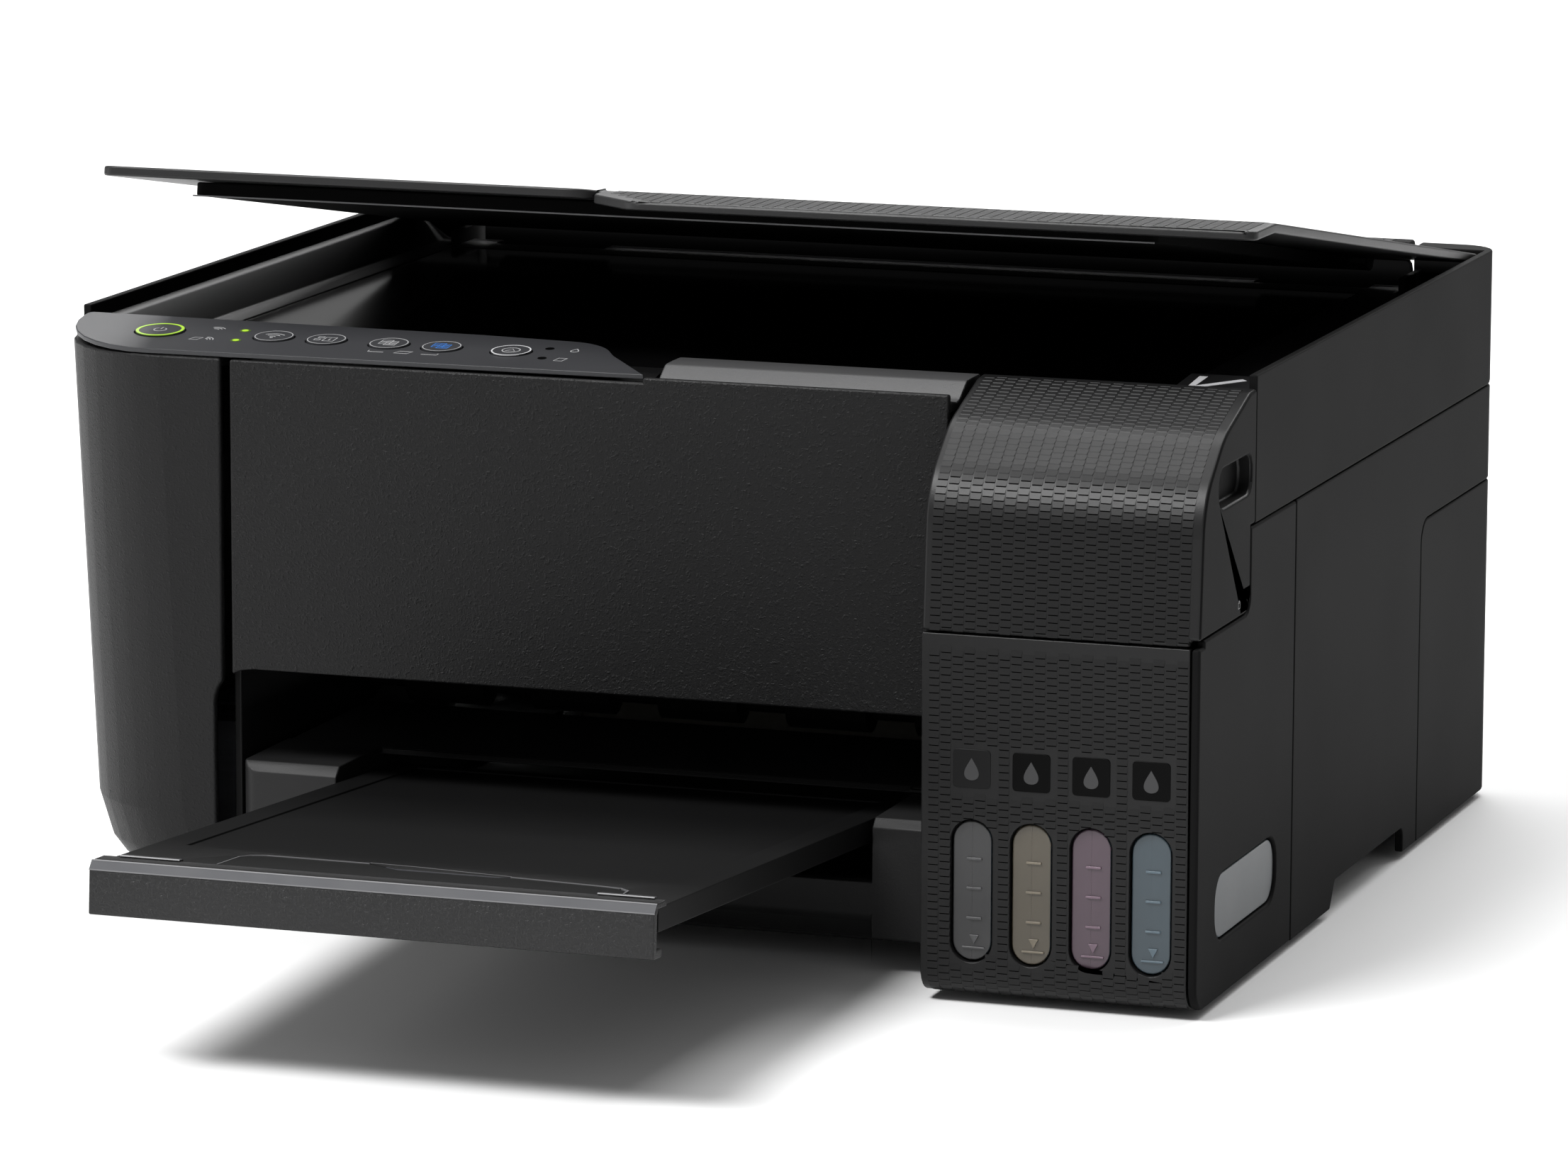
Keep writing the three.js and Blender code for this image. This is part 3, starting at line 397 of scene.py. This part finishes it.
def free_of_windows(x, z):
    """True where a point of the face is clear of every window and badge."""
    free = np.ones(np.shape(x), bool)
    for middle in WINDOW_X:
        nearest = np.clip(z, WINDOW_LOW + WINDOW_HALF, WINDOW_HIGH - WINDOW_HALF)
        free &= np.hypot(x - middle, z - nearest) > WINDOW_HALF + MARGIN
        free &= ((np.abs(x - middle) > BADGE_HALF + MARGIN)
                 | (z < BADGE_LOW - MARGIN) | (z > BADGE_HIGH + MARGIN))
    return free


moulding("tank_front_cover", TILE_BLACK, 0.4)
moulding("tank_side_cover", SIDE_BLACK, 0.9, 3)
coated(INNER_BLACK, "tank_inner_cover")
face_line, face_length = section([(9, 2), (0, 2), (0, 108.3)], (0, 8, 0))
tiles("tank_face_tiles", "body", X_TILED, face_line, face_length - 0.4,
      lambda x, s: free_of_windows(x, face_line(s)[1]) & (s > 1))


def prism(name, body, outline, low, high, material, edge=0.15, turn=None):
    """A plate: an (x, z) outline carried from one y to another, then turned into place."""
    n = len(outline)
    points = np.array([(x, y, z) for y in (low, high) for x, z in outline], float)
    faces = [list(range(n)), list(range(n, 2 * n))]
    faces += [[j, (j + 1) % n, n + (j + 1) % n, n + j] for j in range(n)]
    mesh = bpy.data.meshes.new(name)
    mesh.from_pydata(placed(turn(points) if turn else points).tolist(), [], faces)
    mesh.materials.append(material)
    facing_out(mesh)
    mesh.shade_smooth()
    mesh.set_sharp_from_angle(angle=math.radians(35))
    made = joined(bpy.data.objects.new(name, mesh), body)
    return rounded_edges(made, edge, 2, 40) if edge else made


def milky(name, colour):
    """Milky tank wall over ink: soft depth, cloudy colour and a faint peel."""
    finish = Finish(name, Subsurface_Weight=0.3, Subsurface_Radius=(1, 1, 1), Subsurface_Scale=0.003)
    cloud = finish.noise(26, 3)
    finish.feed(Base_Color=finish.shade(colour, 0.25, cloud), Roughness=cloud * 0.1 + 0.3,
                Normal=finish.relief(finish.noise(1.6), 0.008), Coat_Weight=0.15)
    return finish.material


def square(x, z, half, corner=1.2, steps=4):
    """A square whose corners are quarter circles."""
    a = np.linspace(0, math.pi / 2, steps + 1)
    turns = [(1, 1, 0), (-1, 1, 1), (-1, -1, 2), (1, -1, 3)]
    return [(x + sx * (half - corner) + corner * math.cos(t + q * math.pi / 2),
             z + sz * (half - corner) + corner * math.sin(t + q * math.pi / 2)) for sx, sz, q in turns for t in a]


def drop(x, z, size, count=28):
    """A drop, pointed at the top: x = 0.95 size * sin t * |sin(t/2)|^1.6 and z = size * cos t."""
    t = np.linspace(0, 2 * math.pi, count, endpoint=False)
    across = x + size * 0.95 * np.sin(t) * np.abs(np.sin(t / 2)) ** 1.6
    return list(zip(across.tolist(), (z + size * np.cos(t)).tolist()))


TICK_HEIGHTS = (42.8, 34.1, 25.3)
BADGE_BLACK = smooth("badge_black", (0.001, 0.001, 0.001), 0.3, 0.006, 0.06)
BADGE_MATT = smooth("badge_matt", (0.006, 0.006, 0.0062), 0.4, 0.006, 0.15)
BADGE_PRINT = smooth("badge_print", (0.045, 0.045, 0.046), 0.4, 0.006, 0.2)
SIDE_WINDOW = milky("side_window", (0.017, 0.025, 0.031))
for (ink, tint), middle in zip(INKS.items(), WINDOW_X):
    wall = milky("tank_" + ink, tint)
    tick = milky("tick_" + ink, [1.9 * v for v in tint])
    tank = moulding("ink_tank_" + ink, wall, 0.5, 3)
    second_finish(tank, SIDE_WINDOW, lambda face: face.normal.x > RIGHT_FACING)
    marks = [[(-1.6, z - 0.35), (2.9, z - 0.35), (2.9, z + 0.35), (-1.6, z + 0.35)] for z in TICK_HEIGHTS]
    marks += [[(-0.7, 20.4), (0.75, 17.7), (2.2, 20.4)], [(-2.8, 16.3), (3.9, 16.3), (3.9, 16.9), (-2.8, 16.9)]]
    for i, mark in enumerate(marks):
        prism(f"level_mark_{ink}_{i}", "body", [(middle + x, z) for x, z in mark], 1.4, 0.72, tick)
    height = (BADGE_LOW + BADGE_HIGH) / 2
    prism("badge_" + ink, "body", square(middle, height, BADGE_HALF), 0.5, -0.25,
          BADGE_MATT if ink == "black" else BADGE_BLACK)
    prism("badge_drop_" + ink, "body", drop(middle, height, 3.4), 0.0, -0.4,
          BADGE_PRINT, 0.1)
    coated(RUBBER_BLACK, "ink_cap_" + ink)

# ---- Output tray -----------------------------------------------------------------------------
# The tray is one smooth black plate that slides out on its side rails. Its front bar is a
# grained C-section with a polished chamfer, and a flap hinged behind the bar stops the paper.
# Thin light grey strips along the bar's edges, the hinge lugs, the flap and the finger notch are
# painted highlights.
TRAY_TILT, TRAY_Z = 0.067, 47.1
BAR_X = (-86.7, 80.0)


def on_tray(points):
    """Points of the tray's own plane, tilted up towards its front."""
    x, y, z = np.asarray(points, float).T
    c, s = math.cos(TRAY_TILT), math.sin(TRAY_TILT)
    return np.stack([x, y * c + z * s, TRAY_Z - y * s + z * c], -1)


def strip(name, body, slot, outline, x0, x1, material, edge=0.08):
    """A bar: a (y, z) outline in the tray's plane carried along X."""
    return prism(name, body, outline, x0, x1, material, edge,
                 lambda p: on_tray(np.stack([p[:, 1], p[:, 0], p[:, 2]], -1)))


TRAY_BLACK = moulded("tray_black", (0.0042, 0.0042, 0.0043), 0.5, 0.5, 0.015, 0.12)
BAR_BLACK = moulded("bar_black", (0.016, 0.016, 0.0164), 0.42, 1.05, 0.4, 0.28)
CHAMFER = smooth("chamfer_polish", (0.03, 0.031, 0.036), 0.45, 0.006, 0.2)
# Light grey strips laid along edges: painted highlights where the edges catch the light.
EDGE_PAINTED_HIGHLIGHT = smooth("edge_painted_highlight", (0.14, 0.14, 0.145), 0.4)
moulding("output_tray", TRAY_BLACK, 0.3)
moulding("tray_front_bar", BAR_BLACK, 0.35, 2, 20)
moulding("tray_stopper", TRAY_BLACK, 0.25)
BAR_SLOT, TRAY_SLOT = SLOTS["tray_front_bar"], SLOTS["output_tray"]
BAR_STRIPS = {
    "bar_chamfer": ([(-157.32, -0.7), (-155.45, 1.72), (-155.3, 1.5), (-157.0, -0.8)], CHAMFER),
    "bar_lower_edge": ([(-157.42, -0.95), (-157.3, -0.6), (-157.0, -0.7), (-157.1, -1.0)], EDGE_PAINTED_HIGHLIGHT),
    "bar_upper_edge": ([(-155.62, 1.58), (-155.35, 1.84), (-155.1, 1.7), (-155.4, 1.4)], EDGE_PAINTED_HIGHLIGHT),
}
for name, (outline, material) in BAR_STRIPS.items():
    strip(name, "tray", BAR_SLOT, outline, *BAR_X, material, 0)
LUG = [(-149.2, 0.4), (-149.2, 2.4), (-146.4, 2.4), (-146.0, 0.4)]
LUG_EDGE = [(-149.35, 2.25), (-149.1, 2.55), (-148.6, 2.5), (-149.0, 2.1)]
for name, x0, x1 in (("left", -81.0, -63.0), ("right", 60.5, 77.0)):
    strip(f"hinge_lug_{name}", "tray", BAR_SLOT, LUG, x0, x1, BAR_BLACK, 0.3)
    strip(f"hinge_lug_edge_{name}", "tray", BAR_SLOT, LUG_EDGE, x0, x1, EDGE_PAINTED_HIGHLIGHT, 0)


def ribbon(name, body, strokes, width, material, low, high, turn):
    """Flat ribbons: each stroke is offset half a width to both sides, then given a thickness."""
    vertices, faces = [], []
    for stroke in strokes:
        line = np.asarray(stroke, float)
        loop = np.hypot(*(line[0] - line[-1])) < 1e-6
        line = line[:-1] if loop else line
        ahead, behind = np.roll(line, -1, 0), np.roll(line, 1, 0)
        if not loop:
            ahead[-1], behind[0] = line[-1], line[0]
        lean = ahead - behind
        lean /= np.maximum(np.hypot(*lean.T), 1e-9)[:, None]
        normal = np.stack([-lean[:, 1], lean[:, 0]], -1)
        rows = [line + normal * width / 2 * side for side in (1, -1)]
        n, base = len(line), len(vertices)
        block = [np.column_stack([row, np.full(n, h)]) for h in (low, high) for row in rows]
        vertices.extend(np.stack(block, 1).reshape(-1, 3).tolist())
        a = base + 4 * np.arange(n if loop else n - 1)
        b = base + 4 * ((np.arange(len(a)) + 1) % n)
        for ring in ((2, 3), (1, 0), (0, 2), (3, 1)):
            faces += np.stack([a + ring[0], a + ring[1], b + ring[1], b + ring[0]], -1).tolist()
        if not loop:
            last = base + 4 * (n - 1)
            faces += [[base, base + 1, base + 3, base + 2], [last, last + 2, last + 3, last + 1]]
    mesh = bpy.data.meshes.new(name)
    mesh.from_pydata(placed(turn(np.array(vertices))).tolist(), [], faces)
    mesh.materials.append(material)
    facing_out(mesh)
    return joined(bpy.data.objects.new(name, mesh), body)


# The light strips round the flap and the finger notch are painted highlights on their rims.
FLAP_EDGE = [[(-57, -145), (-57, -121), (-55, -117), (-51, -115), (-20, -115)],
             [(24, -119.6), (50, -122.4), (58, -123.6), (61.4, -127), (62, -133)]]
NOTCH_EDGE = [[(-20, -114.2), (-6, -115), (8, -117), (24, -119)]]
NOTCH_SLOPE = [(-17, -114.8), (24, -119.4), (20, -121.4), (-9, -121.6), (-13, -119)]
ribbon("flap_edge", "stopper", FLAP_EDGE, 0.35, EDGE_PAINTED_HIGHLIGHT, -0.6, 0.06, on_tray)
ribbon("notch_edge", "tray", NOTCH_EDGE, 0.4, EDGE_PAINTED_HIGHLIGHT, -0.6, 0.06, on_tray)
prism("notch_slope", "tray", NOTCH_SLOPE, -0.7, -0.15, CHAMFER, 0.1,
      lambda p: on_tray(np.stack([p[:, 0], p[:, 2], p[:, 1]], -1)))

# ---- Print engine ----------------------------------------------------------------------------
# Inside are the rollers, the gears, the carriage on its bright rail, the motors, the power
# supply and the board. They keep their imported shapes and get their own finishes.
steel = Finish("bright_steel", Metallic=1.0)
brushed = steel.noise(1.4, 3, stretch=(0.05, 1, 1))
steel.feed(Base_Color=steel.shade((0.45, 0.46, 0.48), 0.12, brushed), Roughness=brushed * 0.2 + 0.22,
           Normal=steel.relief(brushed, 0.01))
coated(steel.material, "scan_rod", "feed_motor", "carriage_motor", "carriage_rail", "print_head", "power_supply")
coated(INNER_BLACK, "scan_head", "edge_guide", "platen", "carriage", "capping_station", "ac_inlet")
coated(RUBBER_BLACK, "feed_roller", "eject_roller", "carriage_belt")
coated(smooth("natural_nylon", (0.6, 0.58, 0.52), 0.45),
       "feed_idler_gear", "feed_motor_pinion", "drive_pulley", "idler_pulley")
coated(moulded("pressed_felt", (0.42, 0.4, 0.36), 0.95, 0.6, 0.2), "waste_ink_pad")
coated(smooth("solder_mask", (0.015, 0.08, 0.035), 0.3), "main_board")

# ---- Scanner unit ----------------------------------------------------------------------------
# The scanner's band matches the housings below it. Its bed is a black frame round a sheet of
# glass, with a pale arrow printed on a small tile where a page is lined up.
glass = Finish("scan_glass", Roughness=0.08)
glass.feed(Base_Color=glass.shade((0.003, 0.003, 0.0032), 0.3, glass.noise(40)),
           Normal=glass.relief(glass.noise(9), 0.002))
glass.shader.inputs["Specular IOR Level"].default_value = 0.16
coated(glass.material, "scanner_glass")
moulding("scanner_base", SIDE_BLACK, 0.5)
BED_BLACK = moulded("bed_black", (0.004, 0.004, 0.0042), 0.42, 0.6, 0.01, 0.3)
moulding("scanner_frame", BED_BLACK, 0.6)
PRINT_WHITE = smooth("print_white", (0.42, 0.42, 0.43), 0.5)
PRINT_GREY = smooth("print_grey", (0.3, 0.3, 0.305), 0.5)
BED_TOP = 167.0
# The arrow's tile rises by its slope from its front edge, which is so far back and so high.
ARROW_SLOPE, ARROW_FRONT, ARROW_RISE = 0.07, 66, 4.6


def on_bed(points):
    """Points of the sloping arrow tile, which rises gently from its front edge."""
    x, y, h = np.asarray(points, float).T
    return np.stack([x, y, BED_TOP + ARROW_RISE + (y - ARROW_FRONT) * ARROW_SLOPE + h], -1)


ARROW = [[(163, 86), (163, 71), (178, 71)], [(163, 71), (176, 84)]]
ARROW_TILE = [(158, 66), (183, 66), (183, 90), (158, 90)]
prism("arrow_tile", "scanner", ARROW_TILE, -5.6, 0, BED_BLACK, 0.5,
      lambda p: on_bed(p[:, [0, 2, 1]]))
ribbon("bed_arrow", "scanner", ARROW, 2.6, PRINT_WHITE, -0.1, 0.12, on_bed)

# ---- Control panel ---------------------------------------------------------------------------
# A printed film covers the sloping strip at the front left. Symbols are thin lines of ink, the
# power key has a green light ring round it, and two lamps glow beside the wireless key.
PANEL_PIVOT, PANEL_TILT, PANEL_TOP, KEY_RISE = 30, math.radians(5.9), 173.3, 0.4


def on_panel(points):
    """Points of the film's own plane, turned up from the panel's front edge."""
    x, y, h = np.asarray(points, float).T
    c, s, d = math.cos(PANEL_TILT), math.sin(PANEL_TILT), y - PANEL_PIVOT
    return np.stack([x, PANEL_PIVOT + d * c - h * s, PANEL_TOP + d * s + h * c], -1)


def arc(x, y, radius, start=0, end=360, steps=40):
    """Points along an arc between two angles in degrees; a full turn closes on itself."""
    a = np.radians(np.linspace(start, end, steps + 1))
    line = np.stack([x + radius * np.cos(a), y + radius * np.sin(a)], -1)
    if end - start == 360:
        line[-1] = line[0]
    return line


def page(x, y, width, height, lean=0.0):
    """A closed rectangle, whose top can lean to the right."""
    u = np.array([-1, 1, 1, -1, -1]) * width / 2
    v = np.array([-1, -1, 1, 1, -1]) * height / 2
    return np.stack([x + u + v * lean, y + v], -1)


def glow(name, colour, strength):
    """A lamp behind milky plastic: its colour is a little uneven."""
    finish = Finish(name, Emission_Strength=strength, Roughness=0.3)
    warm = finish.noise(3.0)
    finish.feed(Emission_Color=finish.shade(colour, 0.1, warm),
                Base_Color=finish.shade((0.02, 0.03, 0.01), 0.1, warm))
    return finish.material


PANEL_FILM = moulded("panel_film", (0.024, 0.0245, 0.027), 0.4, 0.3, 0.014, 0.35)
PRINT_BLUE = smooth("print_blue", (0.02, 0.13, 0.42), 0.5)
LAMP_GREEN = glow("lamp_green", (0.46, 0.78, 0.03), 1.0)
LAMP_BLEED = glow("lamp_bleed", (0.13, 0.25, 0.01), 0.35)
KEYS = {"power": (-153.5, 49.6), "wireless": (-116.4, 49.6), "status": (-99.3, 49.3),
        "copy_mono": (-78.9, 48.7), "copy_colour": (-61.9, 48.4), "stop": (-39.7, 48.2)}
RING_RADIUS, OWN_RADIUS = 5.7, {"power": 6.9, "stop": 5.8}
# Prints start a little under the skin that they lie on; on a key they start inside it.
UNDER_FILM, INSIDE_KEY = -0.1, 0.2
SHEETS = ([page(0.8, -0.3, 3.4, 4.4), page(-1.2, 0.8, 3.4, 4.4)]
          + [[(-0.6, d), (2.1, d)] for d in (-1.5, -0.3, 0.9)] + [[(-2.6, d), (-1.2, d)] for d in (0.2, 1.4)])
SYMBOLS = {
    "power": [arc(0, 0, 1.9, 120, 420, 24), [(0, 0.5), (0, 2.7)]],
    "wireless": [arc(0, -2.0, r, 45, 135, 14) for r in (1.3, 2.8, 4.3)] + [arc(0, -2.2, 0.35, 0, 360, 8)],
    "status": [page(1.2, -0.3, 3.4, 4.2), page(-2.1, 1.5, 1.8, 1.4), page(-2.5, -1.2, 1.8, 1.4),
               [(1.2, -1.5), (1.2, 0.3)], [(1.2, 0.9), (1.2, 1.2)]],
    "copy_mono": SHEETS, "copy_colour": SHEETS,
    "stop": [arc(0, 0, 2.7, 0, 360, 28), [(0, 1.5), (-1.5, -1.1), (1.5, -1.1), (0, 1.5)]],
}
moulding("control_panel", PANEL_FILM, 0.3)
for key, (x, y) in KEYS.items():
    coated(PANEL_FILM, key + "_button")
    body, top = key + "_key", KEY_RISE + 0.05
    strokes = [np.asarray(stroke, float) + (x, y) for stroke in SYMBOLS[key]]
    ribbon(key + "_symbol", body, strokes, 0.34, PRINT_BLUE if key == "copy_colour" else PRINT_GREY,
           INSIDE_KEY, top, on_panel)
    ring = [arc(x, y, OWN_RADIUS.get(key, RING_RADIUS), steps=60)]
    if key == "power":
        ribbon("power_light_ring", body, ring, 0.85, LAMP_GREEN, INSIDE_KEY, top + 0.03, on_panel)
        ribbon("power_light_bleed", body, ring, 1.1, LAMP_BLEED, INSIDE_KEY, top, on_panel)
    else:
        ribbon(key + "_outline", body, ring, 0.45 if key == "stop" else 0.26,
               PRINT_WHITE if key == "stop" else PRINT_GREY, INSIDE_KEY, top, on_panel)
LAMPS = ((-128.0, 55.0), (-126.3, 43.5))
for name, radius, height, material in (("panel_lamps", 0.5, 0.14, LAMP_GREEN),
                                       ("panel_lamp_bleed", 0.85, 0.05, LAMP_BLEED)):
    ribbon(name, "scanner", [arc(x, y, radius, steps=20) for x, y in LAMPS], 2 * radius,
           material, UNDER_FILM, height, on_panel)
DARK_LAMPS = [arc(x, y, 0.7, steps=16) for x, y in ((-29.5, 53.7), (-27.8, 42.5))]
ribbon("panel_dark_lamps", "scanner", DARK_LAMPS, 1.4, BADGE_BLACK, UNDER_FILM, 0.1, on_panel)
small_drop = drop(-21.2, 53.2, 1.8)
PRINTS = ([arc(-137.5, 54.0, r, 30, 120, 8) for r in (1.2, 2.2, 3.2)] + [page(-139, 43.0, 2.6, 2.6, 0.4)]
          + [arc(-136.2, 42.4, r, 0, 90, 8) for r in (1.0, 1.9, 2.8)]
          + [page(-21.8, 42.0, 2.6, 3.2, 0.2), small_drop + small_drop[:1], page(-71, 40.2, 4.2, 2.4, 0.4),
             [(-82, 40.6), (-82, 39.2), (-77, 39.2)], [(-60, 40.6), (-60, 39.2), (-65, 39.2)]])
ribbon("panel_prints", "scanner", PRINTS, 0.32, PRINT_GREY, UNDER_FILM, 0.06, on_panel)

# ---- Front panel and cowl --------------------------------------------------------------------
# The front panel is a plain grained leaf that lifts with the scanner; the rail along its top is
# given a much lighter colour, a painted sheen. The cowl over the tanks carries the same tiles as
# the face below it, swept over its curved front.
FRONT_BLACK = moulded("front_black", (0.006, 0.006, 0.0062), 0.42, 1.05, 0.4, 0.2)
# The rail's lighter colour is a painted sheen for the light its rounded top reflects.
RAIL_PAINTED_SHEEN = moulded("rail_painted_sheen", (0.05, 0.05, 0.051), 0.42, 0.9, 0.06, 0.45)
RAIL_FROM = placed((9, 29.5, 168.5))
CHEEK_X = 187.5
panel_leaf = moulding("front_panel", FRONT_BLACK, 0.7, 3)
# Faces of the rail along the panel's top get the painted sheen.
second_finish(panel_leaf, RAIL_PAINTED_SHEEN, lambda face: all(face.center[i] > RAIL_FROM[i] for i in range(3)))
cowl_shell = moulding("tank_cowl", TILE_BLACK, 1.0, 3)
second_finish(cowl_shell, SIDE_BLACK, lambda face: face.normal.x > RIGHT_FACING)
cowl_line, cowl_length = section([(0, 108.8), (3.2, 150), (23.5, 166.2), (50, 174.8), (56, 175.2)],
                                 (0, 24, 28, 6, 0))
tiles("cowl_tiles", "scanner", X_TILED, cowl_line, cowl_length, lambda x, s: s > 0.3)


def on_cheek(points):
    """Points of a symbol's own plane, stood against the cowl's right cheek."""
    u, v, h = np.asarray(points, float).T
    return np.stack([CHEEK_X + h, u, v], -1)


LOCK = [page(40.2, 114.2, 1.8, 1.6), arc(40.2, 115.0, 0.6, 0, 180, 8)]
ribbon("lock_symbol", "scanner", LOCK, 0.2, PRINT_GREY, -0.1, 0.05, on_cheek)

# ---- Document cover and paper support --------------------------------------------------------
# The lid is a thin moulded leaf with a drooping front lip, tiled on its right. A foam-backed
# pad presses pages to the glass, and the paper support's cap stands behind the hinges.
LID_AXIS, LID_TOP, LID_OPEN = (329, 174.5), 178.6, math.radians(9.5)


def opened(points):
    """Points of the closed lid, turned up about its hinge line to where it is stored."""
    y, z = points[:, 1] - LID_AXIS[0], points[:, 2] - LID_AXIS[1]
    c, s = math.cos(LID_OPEN), math.sin(LID_OPEN)
    return np.stack([points[:, 0], LID_AXIS[0] + y * c + z * s, LID_AXIS[1] - y * s + z * c], -1)


LID_BLACK = moulded("lid_black", (0.013, 0.013, 0.0133), 0.42, 0.9, 0.06, 0.3)
moulding("document_cover", LID_BLACK, 0.7, 3)
# The pale pad is painted near-black: painted shade for the dark under the lid.
moulding("document_pad", moulded("pad_painted_shade", (0.002, 0.002, 0.002), 0.9, 0.5, 0.02, 0.05), 0.6)
moulding("paper_support", SIDE_BLACK, 0.8)
lid_line, lid_length = section([(60, 175.2), (82, LID_TOP), (329, LID_TOP)], (0, 12, 0))
LIP_LEFT, LIP_SLANT = -4, 0.9
tiles("lid_tiles", "cover", (-20, 182.6), lid_line, lid_length,
      lambda x, s: (s > 1.2) & ((x > LIP_LEFT) | (s > 1.5 + (LIP_LEFT - x) * LIP_SLANT)), opened)
# The light strip on the pad's front edge is partly the pad's own pale colour and partly a painted highlight on
# its lit rim.
PAD_EDGE = [[(-157.6, 82.3), (147.6, 82.3)]]
ribbon("pad_front_edge", "cover", PAD_EDGE, 0.7, EDGE_PAINTED_HIGHLIGHT,
       LID_TOP - 7.75, LID_TOP - 7.3, opened)
support_line, support_length = section([(337, 180), (346.6, 180)], (0, 0))
tiles("support_cap_tiles", "support", (-157, 157), support_line, support_length,
      lambda x, s: s > 0.4)
